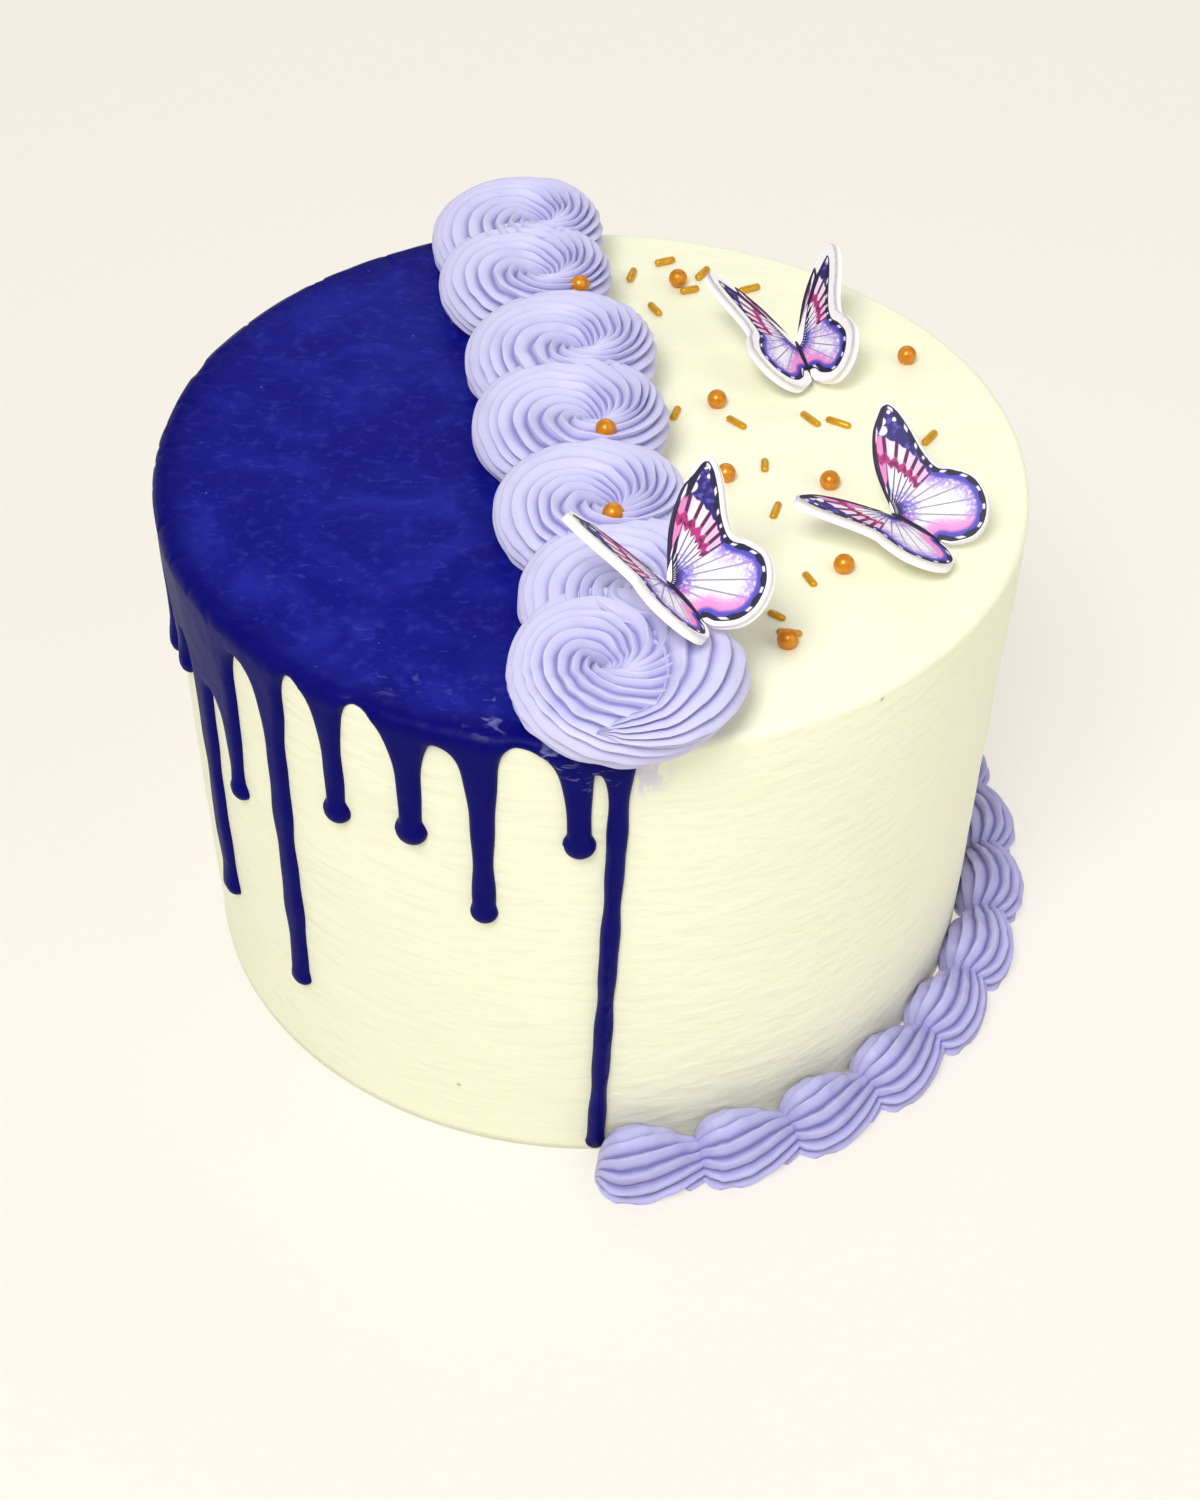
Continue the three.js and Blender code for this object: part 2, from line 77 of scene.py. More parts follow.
# Drips: angle, height of the tip, half width of stem and bulb, slant, and height of the next arch
DRIPS = [
    (-86, 1.5, 2.3, 2.3, -2.3, 136.8),
    (-90.9, 110, 2.4, 3.7, 0, 143),
    (-102.7, 85, 2.7, 3.2, -0.2, 139.5),
    (-112.1, 106, 2.7, 3.9, 0, 143.5),
    (-123, 103, 2.3, 3.7, 0, 142.6),
    (-133, 31, 3.1, 3.1, -0.5, 136.8),
    (-143, 85, 2.4, 3.3, 0, 115),
    (-151.5, 37, 3.6, 3.3, 0, 121.4),
    (-159, 104, 2.5, 3.2, 0, 130),
    (-168, 97, 2.4, 3.3, 0, 134),
]
HIDDEN_DRIPS = dict(count=7, start=-180, step=-11.4, shift=1.5, low=38, high=108, thin=2.2, broad=3,
                    swell_low=1.15, swell_high=1.5, slant=0.4, arch=138)
# Where the glaze ends under the row, beyond the end rosettes' centres
ROW = dict(bow=3, front_beyond=4, back_beyond=6, back_aside=2, points=70)
# The glaze's mesh: spacing of its edge, rings inside the edge, rows on the side and rings on the top
GLAZE_MESH = dict(edge=0.55, insets=((0.12, 1), (0.4, 1), (0.85, 1), (1.4, 2)), keep=0.9,
                  side_from=-3.0, side_step=1.15, side_inset=1.9, top_inset=4.2, top_step=1.3,
                  top_growth=1.06, top_coarsest=3.2, row_inset=0.8, back_every=9)
# The bead along the glaze's edge: its reach, and its rise in a bulb as a share of the half width
BEAD = dict(reach=2.3, bulb_rise=0.85)

# The border of shells round the right half of the base
SHELLS = dict(count=15, start=-88, end=102, half=9.2, height=14.5, low=0.3, ridges=8, ridge=1.25,
              sweep_from=-20, sweep=220, nose=-0.03, reach=1.18, rows=64, per_ridge=20)
# How a shell's ridges climb towards its tail, and curl at its head
SHELL_CLIMB = dict(rise=44, power=1.8, curl=30, curl_reach=0.1)

# Along a shell, from its blunt head to its tail: share of the pitch, and share of the full size
SHELL_SIZES = [(-0.03, 0.05), (0.0, 0.4), (0.04, 0.62), (0.1, 0.78), (0.2, 0.92), (0.45, 1),
               (0.75, 0.84), (1.05, 0.56), (1.15, 0.4)]

# A butterfly's wing: distances forward along the fold line and out from it
WING = [
    (9, 7), (14.2, 13.6), (17, 20.5), (16, 23.4), (12.5, 23.2), (7.6, 21), (1.5, 17.6), (-3.2, 16.2),
    (-6.5, 17.6), (-12.3, 18.6), (-17.9, 15.6), (-20.8, 10.5), (-20.4, 5.5), (-17, 1.5),
]
WING_SPOTS = [(13.2, 16.6, 1.25), (14.6, 18.5, 1.05), (12.2, 20.6, 0.55), (14.4, 21.4, 0.5)]
WING_THICK = 2.2
WING_STEP = 0.8
BODY_LENGTH = 14.5
BODY_RADIUS = 0.95
BUTTERFLIES = [
    dict(name="butterfly_back", at=(52.1, 47.2, 148.8), heading=105.4, pitch=9.5,
         spread=(58, 36), reach=(1.04, 0.94), border=2.5),
    dict(name="butterfly_right", at=(71.8, -28.1, 149.4), heading=146, pitch=11,
         spread=(68.5, 50), reach=(1, 0.97), border=0.6),
    dict(name="butterfly_front", at=(16.2, -80.1, 168.9), heading=126.4, pitch=11,
         spread=(48.5, 56), reach=(1, 1.1), border=1.2),
]

# Gold pearls and rods: places on the cream and on the rosettes
PEARL_RADIUS = 2.55
PEARL_SIT = 0.8  # height of a pearl's centre over the cake, as a share of its radius
PEARLS = [
    (21.4, 81.7), (81.8, 45.8), (30.9, 23.6), (32.4, -8.5), (58.2, -10.6), (59.7, -44), (45.1, -72.2),
]
ROSETTE_PEARLS = [(-5.3, 51.8, 162), (2.3, -15.4, 163.6), (4.4, -48.9, 163.6)]
ROD_RADIUS = 1
ROD_SIT = 0.6
RODS = [
    (8.6, 85.3, 5.5, 76), (17.9, 92.7, 5.6, 24), (28.3, 86.8, 6, 60), (24.6, 78.2, 5, 20),
    (15, 68, 5.5, -61), (41.1, 79.3, 6, 27), (20.2, 19, 5, 74), (35.8, 15.3, 6, -45),
    (54.9, 17.5, 6.5, -52), (62, 16.2, 6.5, -29), (42.4, -2.9, 4.5, -92), (84.9, 10.4, 6, -123),
    (44.4, -21.6, 6, -106), (51.4, -48.4, 5, -65), (43, -62.1, 4.2, -36), (45.7, -68.2, 5.5, -7),
]

# Blemishes, as places and reaches: pale scuffs and dark specks on the cream, scuffs on the glaze, and
# the smear of lavender below the front rosette
CREAM_SCUFFS = [((78, -66, 128), 14, 0.5), ((60, -88, 118), 8, 0.4), ((0, -109, 60), 16, 0.25)]
CREAM_SPECKS = [((66.5, -87, 141), 0.7), ((92, -52, 143), 0.6), ((-32, -102, 20), 0.6)]
SMEAR = dict(centre=(11.5, -108.5, 136), radius=6)
GLAZE_SCUFFS = [((-22, -100, 146), 5, 0.5), ((-8, -108, 141), 4, 0.6), ((1, -110, 136), 4, 0.5),
                ((-44, -88, 146), 5, 0.25), ((-26, -93, 146), 4, 0.5)]

# The camera, worked out from the outlines of the cake's top and side
CAMERA = dict(place=(2.4525, -500.418, 505.932), down=42.74, roll=1.14, lens=58.37)

# Light and floor: the world's strength, each lamp's place in metres, power and size, and the floor's
# half width and own glow
WORLD_LIGHT = 0.40
LAMPS = [("key", (-0.26, -0.72, 1.15), 11.6, 0.45), ("fill", (0.9, -0.5, 0.8), 3, 0.9),
         ("back", (0.1, 0.9, 0.9), 2, 0.9)]
FLOOR = dict(size=30000, glow=0.57)


# Numbers and curves

def radians(degrees):
    return np.deg2rad(degrees)


def smoothstep(value, low, high):
    share = np.clip((value - low) / (high - low), 0, 1)
    return share * share * (3 - 2 * share)


def lerp(a, b, share):
    return a + (b - a) * share


def ripple(points, wavelength, seed, waves=9):
    """Smooth random heights of about -1 to 1 over the points, as a sum of waves in all directions."""
    draw = np.random.default_rng(seed)
    points = np.asarray(points, float)
    total = np.zeros(points.shape[:-1])
    for _ in range(waves):
        direction = draw.normal(size=points.shape[-1])
        direction /= np.linalg.norm(direction)
        length = wavelength * draw.uniform(0.65, 1.6)
        total += np.sin(points @ direction * (2 * math.pi / length) + draw.uniform(0, 2 * math.pi))
    return total / math.sqrt(waves)


def polar(radius, degrees, z):
    angle = radians(degrees)
    return np.stack(np.broadcast_arrays(radius * np.cos(angle), radius * np.sin(angle), z), -1)


def side_radius(z):
    return BASE_RADIUS + (TOP_RADIUS - BASE_RADIUS) * z / HEIGHT


def resample(points, spacing):
    """The same line with evenly spaced points."""
    steps = np.linalg.norm(np.diff(points, axis=0), axis=1)
    run = np.concatenate([[0], np.cumsum(steps)])
    count = max(2, int(round(run[-1] / spacing)) + 1)
    even = np.linspace(0, run[-1], count)
    return np.stack([np.interp(even, run, points[:, k]) for k in range(points.shape[1])], -1)


# Meshes

def inside_outline(points, outline):
    """Whether each point lies inside a closed outline, by how many of its edges pass to the right."""
    inside = np.zeros(len(points), bool)
    for (ax, ay), (bx, by) in zip(outline, np.roll(outline, -1, axis=0)):
        crosses = (points[:, 1] < ay) != (points[:, 1] < by)
        if crosses.any():
            x = ax + (points[:, 1] - ay) * (bx - ax) / ((by - ay) or 1e-12)
            inside ^= crosses & (points[:, 0] < x)
    return inside


def filled(flat, loop_count):
    """Triangles between points in a plane, within the closed outline that the first of them make."""
    loop = list(range(loop_count))
    _, _, faces, _, _, _ = delaunay_2d_cdt([tuple(p) for p in flat], [], [loop], 1, 1e-5, False)
    faces = np.array([tuple(face) for face in faces if len(face) == 3])
    middles = flat[faces].mean(1)
    keep = inside_outline(middles, flat[:loop_count])
    return [tuple(int(i) for i in face) for face in faces[keep]]


def grid_faces(rows, columns, wrap=False, start=0):
    j, i = np.mgrid[0:rows - 1, 0:columns - (0 if wrap else 1)]
    k = (i + 1) % columns
    quads = np.stack([j * columns + i, j * columns + k, (j + 1) * columns + k, (j + 1) * columns + i], -1)
    return (quads.reshape(-1, 4) + start).tolist()


def fan_faces(ring, centre, flip=False):
    faces = [(centre, ring[i], ring[(i + 1) % len(ring)]) for i in range(len(ring))]
    return [face[::-1] for face in faces] if flip else faces


def add_piece(name, points, faces, material, nodes, fields=None):
    """A mesh piece that rides on the cake and stands for CAD nodes; fields are numbers per point."""
    mesh = bpy.data.meshes.new(name)
    mesh.from_pydata((np.asarray(points, float).reshape(-1, 3) * MM).tolist(), [], faces)
    for field, values in (fields or {}).items():
        attribute = mesh.attributes.new(field, "FLOAT", "POINT")
        attribute.data.foreach_set("value", np.asarray(values, np.float32).ravel())
    mesh.shade_smooth()
    mesh.materials.append(material)
    piece = bpy.data.objects.new(name, mesh)
    bpy.context.scene.collection.objects.link(piece)
    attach(piece, "root")
    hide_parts(*nodes)
    return piece


# Materials

def srgb(red, green, blue):
    """A linear colour from the usual 0 to 255 numbers."""
    channels = []
    for value in (red, green, blue):
        share = value / 255
        channels.append(share / 12.92 if share <= 0.04045 else ((share + 0.055) / 1.055) ** 2.4)
    return (*channels, 1)


class Field:
    """A number that varies over a surface. Arithmetic on fields adds shader nodes."""

    def __init__(self, tree, socket):
        self.tree = tree
        self.socket = socket

    def math(self, operation, *others):
        node = self.tree.nodes.new("ShaderNodeMath")
        node.operation = operation
        self.tree.links.new(self.socket, node.inputs[0])
        for slot, other in enumerate(others, 1):
            if isinstance(other, Field):
                self.tree.links.new(other.socket, node.inputs[slot])
            else:
                node.inputs[slot].default_value = other
        return Field(self.tree, node.outputs[0])

    def __add__(self, other):
        return self.math("ADD", other)

    def __sub__(self, other):
        return self.math("SUBTRACT", other)

    def __mul__(self, other):
        return self.math("MULTIPLY", other)

    def __truediv__(self, other):
        return self.math("DIVIDE", other)

    def __neg__(self):
        return self.math("MULTIPLY", -1)

    def step(self, low, high):
        """0 below low and 1 above high, or the other way round where low is the larger."""
        node = self.tree.nodes.new("ShaderNodeMapRange")
        node.interpolation_type = "SMOOTHSTEP"
        self.tree.links.new(self.socket, node.inputs["Value"])
        flip = low > high
        node.inputs["From Min"].default_value = min(low, high)
        node.inputs["From Max"].default_value = max(low, high)
        node.inputs["To Min"].default_value = 1 if flip else 0
        node.inputs["To Max"].default_value = 0 if flip else 1
        return Field(self.tree, node.outputs[0])


class Surface:
    """A material under construction: its colour, roughness and relief are built up in steps."""

    def __init__(self, name, colour, **sockets):
        self.material = bpy.data.materials.new(name)
        self.material.use_nodes = True
        self.tree = self.material.node_tree
        self.shader = self.tree.nodes["Principled BSDF"]
        self.shader.inputs["Base Color"].default_value = colour
        for socket, value in sockets.items():
            self.shader.inputs[socket.replace("_", " ")].default_value = value
        self.place = self.tree.nodes.new("ShaderNodeTexCoord").outputs["Object"]
        self.colour = colour
        self.relief = None

    def mapped(self, stretch=(1, 1, 1), shift=(0, 0, 0)):
        """The place on the object in millimetres, stretched or shifted."""
        node = self.tree.nodes.new("ShaderNodeMapping")
        node.inputs["Scale"].default_value = [s / MM for s in stretch]
        node.inputs["Location"].default_value = shift
        self.tree.links.new(self.place, node.inputs["Vector"])
        return node.outputs[0]

    def noise(self, size, detail=2, stretch=(1, 1, 1), shift=(0, 0, 0), distortion=0):
        node = self.tree.nodes.new("ShaderNodeTexNoise")
        node.inputs["Scale"].default_value = 1 / size
        node.inputs["Detail"].default_value = detail
        node.inputs["Distortion"].default_value = distortion
        self.tree.links.new(self.mapped(stretch, shift), node.inputs["Vector"])
        return Field(self.tree, node.outputs["Fac"])

    def specks(self, size, radius):
        """1 at the centre of scattered dots, 0 away from them."""
        node = self.tree.nodes.new("ShaderNodeTexVoronoi")
        node.inputs["Scale"].default_value = 1 / size
        self.tree.links.new(self.mapped(), node.inputs["Vector"])
        return Field(self.tree, node.outputs["Distance"]).step(radius / size, 0)

    def near(self, centre, radius, soft=0.5):
        """1 within radius of a point, falling to 0 outside it."""
        node = self.tree.nodes.new("ShaderNodeVectorMath")
        node.operation = "DISTANCE"
        self.tree.links.new(self.mapped(), node.inputs[0])
        node.inputs[1].default_value = centre
        return Field(self.tree, node.outputs["Value"]).step(radius * (1 + soft), radius * (1 - soft))

    def attribute(self, name):
        node = self.tree.nodes.new("ShaderNodeAttribute")
        node.attribute_name = name
        return Field(self.tree, node.outputs["Fac"])

    def tint(self, mask, colour):
        """Lays a colour over what is there, where the mask is 1."""
        node = self.tree.nodes.new("ShaderNodeMix")
        node.data_type = "RGBA"
        self.tree.links.new(mask.socket, node.inputs["Factor"])
        if isinstance(self.colour, tuple):
            node.inputs["A"].default_value = self.colour
        else:
            self.tree.links.new(self.colour, node.inputs["A"])
        node.inputs["B"].default_value = colour
        self.colour = node.outputs["Result"]
        self.tree.links.new(self.colour, self.shader.inputs["Base Color"])

    def roughen(self, field):
        self.tree.links.new(field.socket, self.shader.inputs["Roughness"])

    def bump(self, field, height):
        """Relief of a height in millimetres."""
        node = self.tree.nodes.new("ShaderNodeBump")
        node.inputs["Strength"].default_value = 1
        node.inputs["Distance"].default_value = height * MM
        self.tree.links.new(field.socket, node.inputs["Height"])
        if self.relief:
            self.tree.links.new(self.relief, node.inputs["Normal"])
        self.relief = node.outputs[0]
        self.tree.links.new(self.relief, self.shader.inputs["Normal"])


def cream_material():
    surface = Surface("cream_frosting", srgb(245, 246, 216), Roughness=0.5, Subsurface_Weight=0.2,
                      Subsurface_Scale=0.004)
    surface.shader.inputs["Subsurface Radius"].default_value = (1, 0.9, 0.6)
    surface.tint(surface.noise(60, 2).step(0.35, 0.75) * 0.5, srgb(249, 249, 224))
    surface.tint(surface.noise(25, 3, shift=(9, 3, 5)).step(0.5, 0.8) * 0.25, srgb(241, 240, 205))
    scuffs = surface.noise(3, 4, stretch=(1, 1, 2.5)).step(0.6, 0.7)
    for centre, radius, strength in CREAM_SCUFFS:
        surface.tint(surface.near(centre, radius) * scuffs * strength, srgb(252, 252, 244))
    smear = surface.noise(2.2, 4, stretch=(1, 1, 0.35)).step(0.42, 0.56)
    surface.tint(surface.near(SMEAR["centre"], SMEAR["radius"]) * smear * 0.75, srgb(214, 207, 232))
    for centre, radius in CREAM_SPECKS:
        surface.tint(surface.near(centre, radius) * 0.7, srgb(150, 140, 110))
    surface.bump(surface.noise(9, 3, stretch=(1, 1, 3)), 0.5)
    surface.bump(surface.noise(1.2, 2), 0.05)
    surface.roughen(surface.noise(20, 3) * 0.2 + 0.42)
    return surface.material


def glaze_material():
    surface = Surface("blue_glaze", srgb(8, 6, 98), Roughness=0.4, Specular_IOR_Level=0.05)
    top = surface.attribute("on_top")
    # Painted light: the top is given a lighter blue than the drips on the side, for the light it takes
    surface.tint(top * 0.85, srgb(12, 14, 124))
    # Painted highlight: broad pale patches on the top stand in for the soft sheen on the glaze
    painted_sheen = surface.noise(26, 5, distortion=0.8).step(0.42, 0.75) * top
    surface.tint(painted_sheen * 0.6, srgb(34, 42, 162))
    mottle = surface.noise(3.4, 5, shift=(3, 1, 0)).step(0.5, 0.75) * top
    surface.tint(mottle * 0.35, srgb(52, 58, 168))
    streaks = surface.noise(7, 4, stretch=(1, 3.2, 1), distortion=1.6).step(0.62, 0.72) * top
    surface.tint(streaks * 0.2, srgb(84, 90, 190))
    surface.tint(surface.specks(9, 0.4) * top * 0.6, srgb(140, 142, 212))
    scuffs = surface.noise(5, 2, stretch=(1, 1, 2.5), distortion=1.2).step(0.54, 0.66)
    for centre, radius, strength in GLAZE_SCUFFS:
        surface.tint(surface.near(centre, radius, 0.8) * scuffs * strength, srgb(150, 152, 204))
    surface.bump(surface.noise(6, 3), 0.25)
    surface.bump(surface.noise(1.4, 3) * top, 0.06)
    surface.roughen(surface.noise(14, 3) * 0.2 + 0.34)
    return surface.material


def piped_material(name, colour, mottle_and_groove_shade):
    """Buttercream with a random mottle of a deeper tone, and painted shade that darkens it from each
    crest into the groove.
    """
    surface = Surface(name, colour, Roughness=0.5, Subsurface_Weight=0.12, Subsurface_Scale=0.0015)
    surface.shader.inputs["Subsurface Radius"].default_value = (0.9, 0.8, 1)
    surface.tint(surface.noise(12, 3).step(0.5, 0.8) * 0.25, mottle_and_groove_shade)
    # Painted shade: the grooves are darkened towards the deeper colour, standing in for the shade that
    # falls in them
    surface.tint(surface.attribute("groove_shade").step(0.15, 1) * 0.85, mottle_and_groove_shade)
    surface.bump(surface.noise(0.9, 2), 0.06)
    return surface.material


def wafer_material(name, border):
    """White wafer paper, printed with a butterfly's wings: cells between veins, bands and a margin."""
    surface = Surface(name, srgb(250, 246, 247), Roughness=0.6)
    along, out = surface.attribute("along"), surface.attribute("out")
    rho = (along * along + out * out).math("SQRT")
    theta = along.math("ARCTAN2", out) * (180 / math.pi)
    fore = theta.step(-12.6, -11.6)
    hind = theta.step(-11.6, -12.6)
    edge = surface.attribute("edge") - theta.step(46, 38) * border
    past = theta + 12
    cell = (past.math("MAXIMUM", 0) / 10 + past.math("MINIMUM", 0) / 12).math("PINGPONG", 0.5)
    across = cell * rho * 0.19
    reach = rho * ((theta - 40) * -0.0095 + 1)
    blot = surface.noise(1.6, 3)
    streak = surface.noise(0.8, 2)

    # The forewing from its root outwards
    surface.tint(fore * reach.step(7, 14) * 0.35, srgb(243, 190, 224))
    surface.tint(fore * theta.step(33, 41) * rho.step(3, 6), srgb(232, 134, 194))
    surface.tint(fore * across.step(0.26, 0.1), srgb(96, 84, 112))
    zigzag = reach + cell * 3.2
    band = fore * zigzag.step(13.2, 13.8) * zigzag.step(16.4, 15.8)
    surface.tint(band, srgb(186, 44, 126))
    surface.tint(band * blot.step(0.45, 0.6), srgb(112, 18, 84))
    cells = fore * zigzag.step(15.8, 16.4)
    surface.tint(cells * theta.step(28, 4) * 0.8, srgb(247, 178, 216))
    surface.tint(cells * across.step(0.62, 0.4), srgb(84, 20, 82))
    tip = fore * (reach + cell * 1.2).step(20, 20.5)
    surface.tint(tip, srgb(40, 26, 112))
    surface.tint(tip * blot.step(0.5, 0.62), srgb(84, 74, 178))
    for spot_along, spot_out, size in WING_SPOTS:
        beside, beyond = along - spot_along, out - spot_out
        away = (beside * beside + beyond * beyond).math("SQRT")
        surface.tint(fore * away.step(size * 1.15, size * 0.85), srgb(246, 240, 250))

    # The hindwing
    surface.tint(hind * blot.step(0.4, 0.7) * 0.5, srgb(214, 220, 232))
    surface.tint(hind * across.step(0.24, 0.08) * 0.8, srgb(108, 100, 132))
    surface.tint(hind * edge.step(7, 2.6) * streak.step(0.25, 0.6), srgb(172, 140, 222))
    surface.tint(hind * theta.step(-56, -68) * edge.step(6.5, 3), srgb(244, 150, 208))
    surface.tint(hind * edge.step(3, 1.8), srgb(78, 74, 186))

    # The blush at the root, the dark margin with its pale chips, and the white border
    surface.tint(rho.step(9.5, 2.5) * streak.step(0.3, 0.62), srgb(98, 84, 196))
    surface.tint(rho.step(5, 2.2) * streak.step(0.2, 0.5), srgb(44, 26, 112))
    surface.tint(rho.step(3, 1.8), srgb(16, 10, 42))
    margin = edge + cell * 1.3
    surface.tint(margin.step(1.65, 1.4), srgb(24, 14, 58))
    surface.tint(cell.step(0.33, 0.4) * edge.step(0.25, 0.4) * edge.step(1.0, 0.8), srgb(240, 232, 246))
    leading = fore * theta.step(38, 42) * surface.attribute("edge").step(0.95, 0.75)
    surface.tint(leading, srgb(42, 14, 60))
    blank = -(surface.attribute("printed").step(0.9, 0.99) * edge.step(-0.1, 0.05)) + 1
    surface.tint(blank, srgb(250, 246, 247))
    surface.tint(surface.attribute("ink"), srgb(20, 14, 40))
    surface.bump(surface.noise(1.5, 2), 0.05)
    return surface.material


def gold_material(name, colour, glint):
    surface = Surface(name, colour, Roughness=0.32, Metallic=0.35)
    surface.tint(surface.noise(2.2, 3).step(0.35, 0.7) * 0.6, glint)
    surface.bump(surface.noise(0.6, 2), 0.05)
    return surface.material


# The cake's surface and its frosting

def frosting_swell(points):
    """The slight unevenness of the hand-smoothed frosting, at places in millimetres."""
    return 0.35 * ripple(points, 90, SEED) + 0.1 * ripple(points, 28, SEED + 1)


def on_surface(degrees, run, out):
    """A point on the cake: run is the way past the start of the rim, negative across the top."""
    arc = math.pi / 2 * RIM
    degrees, run, out = np.broadcast_arrays(*(np.asarray(a, float) for a in (degrees, run, out)))
    lift = math.pi / 2 - np.clip(run, 0, arc) / RIM
    z_side = HEIGHT - RIM - np.maximum(run - arc, 0)
    on_side = run > arc
    radius = TOP_RADIUS - RIM + np.minimum(run, 0) + (RIM + out) * np.cos(lift)
    radius = np.where(on_side, side_radius(z_side) + out, radius)
    z = np.where(on_side, z_side, HEIGHT - RIM + (RIM + out) * np.sin(lift))
    bare = polar(radius, degrees, z)
    swell = frosting_swell(bare) * smoothstep(z, 0, 6)
    push = np.where(on_side, 1, np.cos(lift))
    rise = np.where(on_side, 0, np.sin(lift))
    return bare + polar(swell * push, degrees, swell * rise)


def build_frosting(material):
    side = HEIGHT - RIM + math.pi / 2 * RIM
    runs = np.concatenate([
        np.linspace(-106.9, -6, 34), np.linspace(-4.5, -0.5, 4), np.linspace(0, math.pi, 7),
        np.linspace(math.pi + 1, side, 58),
    ])
    columns = 320
    degrees = np.arange(columns) * 360 / columns
    grid = on_surface(degrees[None, :], runs[:, None], 0.0)
    points = grid.reshape(-1, 3)
    faces = [face[::-1] for face in grid_faces(len(runs), columns, wrap=True)]
    centre = len(points)
    points = np.vstack([points, [points[:columns].mean(0)], [(0, 0, 0)]])
    faces += fan_faces(list(range(columns)), centre)
    last = (len(runs) - 1) * columns
    faces += fan_faces(list(range(last, last + columns)), centre + 1, flip=True)
    return add_piece("cake_frosting", points, faces, material, ["cake_body"])


# The glaze: its outline on the developed surface, where u is the way round clockwise from the
# glaze's front end and run is the way past the start of the rim

def u_of(degrees):
    return radians(GLAZE["front"] - degrees) * TOP_RADIUS


def degrees_of(u):
    return GLAZE["front"] - np.rad2deg(u / TOP_RADIUS)


def run_of(z):
    return HEIGHT - RIM - z + math.pi / 2 * RIM


def all_drips():
    """The drips of the photo's side, and seeded ones where it does not look."""
    drips = [dict(zip(("at", "tip", "stem", "bulb", "slant", "arch"), drip)) for drip in DRIPS]
    state = SEED

    def draw(low, high):
        nonlocal state
        state = state * 16807 % 2147483647
        return low + (high - low) * state / 2147483647

    hidden = HIDDEN_DRIPS
    for i in range(hidden["count"]):
        stem = draw(hidden["thin"], hidden["broad"])
        at = hidden["start"] + i * hidden["step"] + draw(-hidden["shift"], hidden["shift"])
        tip = draw(hidden["low"], hidden["high"])
        bulb = stem * draw(hidden["swell_low"], hidden["swell_high"])
        slant = draw(-hidden["slant"], hidden["slant"])
        drips.append(dict(at=at, tip=tip, stem=stem, bulb=bulb, slant=slant, arch=hidden["arch"]))
    return drips


def drip_middle(drip, run):
    share = (run - run_of(HEIGHT - 4)) / (run_of(drip["tip"]) - run_of(HEIGHT - 4))
    return u_of(drip["at"] + drip["slant"] * np.clip(share, 0, 1))


def drip_half(drip, run):
    """Half the width of a drip: a slightly uneven stem that swells to a bulb."""
    uneven = 0.07 * np.sin(run / 5.5 + drip["at"]) + 0.05 * np.sin(run / 2.7 - drip["at"])
    stem = drip["stem"] * (1 + uneven)
    above = run_of(drip["tip"]) - drip["bulb"] - run
    round_half = np.sqrt(np.maximum(drip["bulb"] ** 2 - above ** 2, 0))
    return (stem ** 5 + round_half ** 5) ** 0.2


def drip_edges(drip):
    """Both sides of a drip down to its bulb's middle, then round its tip, as one line."""
    centre = run_of(drip["tip"]) - drip["bulb"]
    angle = radians(np.linspace(0, 180, 25))
    half = drip_half(drip, centre)
    middle = drip_middle(drip, centre)
    return np.stack([middle - half * np.cos(angle), centre + drip["bulb"] * np.sin(angle)], -1)


def arch_between(drip, following):
    """The glaze's edge from one drip's bulb up, over the arch and down to the next drip's bulb."""
    top = run_of(drip["arch"])
    ends = [run_of(d["tip"]) - d["bulb"] for d in (drip, following)]

    def widening(run):
        left = drip_middle(drip, run) + drip_half(drip, run)
        right = drip_middle(following, run) - drip_half(following, run)
        gap = np.maximum(right - left, 1)
        scale = GLAZE["arch_share"] * gap
        least = np.exp(-gap / scale)
        c = 1 - (1 - 2 * np.sqrt(least)) * np.exp(-(run - top) / GLAZE["arch_decay"])
        root = np.sqrt(np.maximum(c * c - 4 * least, 0))
        highest = np.log((1 + np.sqrt(1 - 4 * least)) / 2)
        return left, right, scale * (highest - np.log((c + root) / 2))

    shape = np.linspace(0, 1, 160) ** 2
    down = top + (ends[0] - top) * shape
    left, _, flare = widening(down)
    first = np.stack([left + flare * (1 + GLAZE["slope"]), down], -1)[::-1]
    down = top + (ends[1] - top) * shape
    _, right, flare = widening(down)
    second = np.stack([right - flare * (1 - GLAZE["slope"]), down], -1)
    return np.concatenate([first, second])


def lower_edge(drips):
    """The glaze's whole lower edge in u and run."""
    first = drips[0]
    down = np.linspace(0, run_of(first["tip"]) - first["bulb"], 120)
    opening = np.stack([drip_middle(first, down) - drip_half(first, down)
                        - 2.5 * np.exp(-down / 5), down], -1)
    pieces = [opening]
    for i, drip in enumerate(drips):
        pieces.append(drip_edges(drip))
        if i + 1 < len(drips):
            pieces.append(arch_between(drip, drips[i + 1]))
    last = drips[-1]
    up = np.linspace(run_of(last["tip"]) - last["bulb"], 0, 120)
    end = u_of(GLAZE["back"])
    blend = np.exp(-up / 6)
    closing = drip_middle(last, up) + drip_half(last, up)
    pieces.append(np.stack([closing + (end - closing) * blend, up], -1))
    return np.concatenate(pieces)


def unrolled(u, run):
    """The plane in which the glaze is triangulated: the top as it is, with the side laid out round it."""
    radius = TOP_RADIUS - RIM + run
    angle = radians(degrees_of(u))
    return np.stack([radius * np.cos(angle), radius * np.sin(angle)], -1)


def row_line():
    """The glaze's edge under the row of rosettes, from the back to the front."""
    share = np.linspace(1, 0, ROW["points"])
    front, back = ROSETTES[-1], ROSETTES[0]
    x = lerp(front[0], back[0] - ROW["back_aside"], share) + ROW["bow"] * np.sin(math.pi * share)
    y = lerp(front[1] - ROW["front_beyond"], back[1] + ROW["back_beyond"], share)
    return np.stack([x, y], -1)


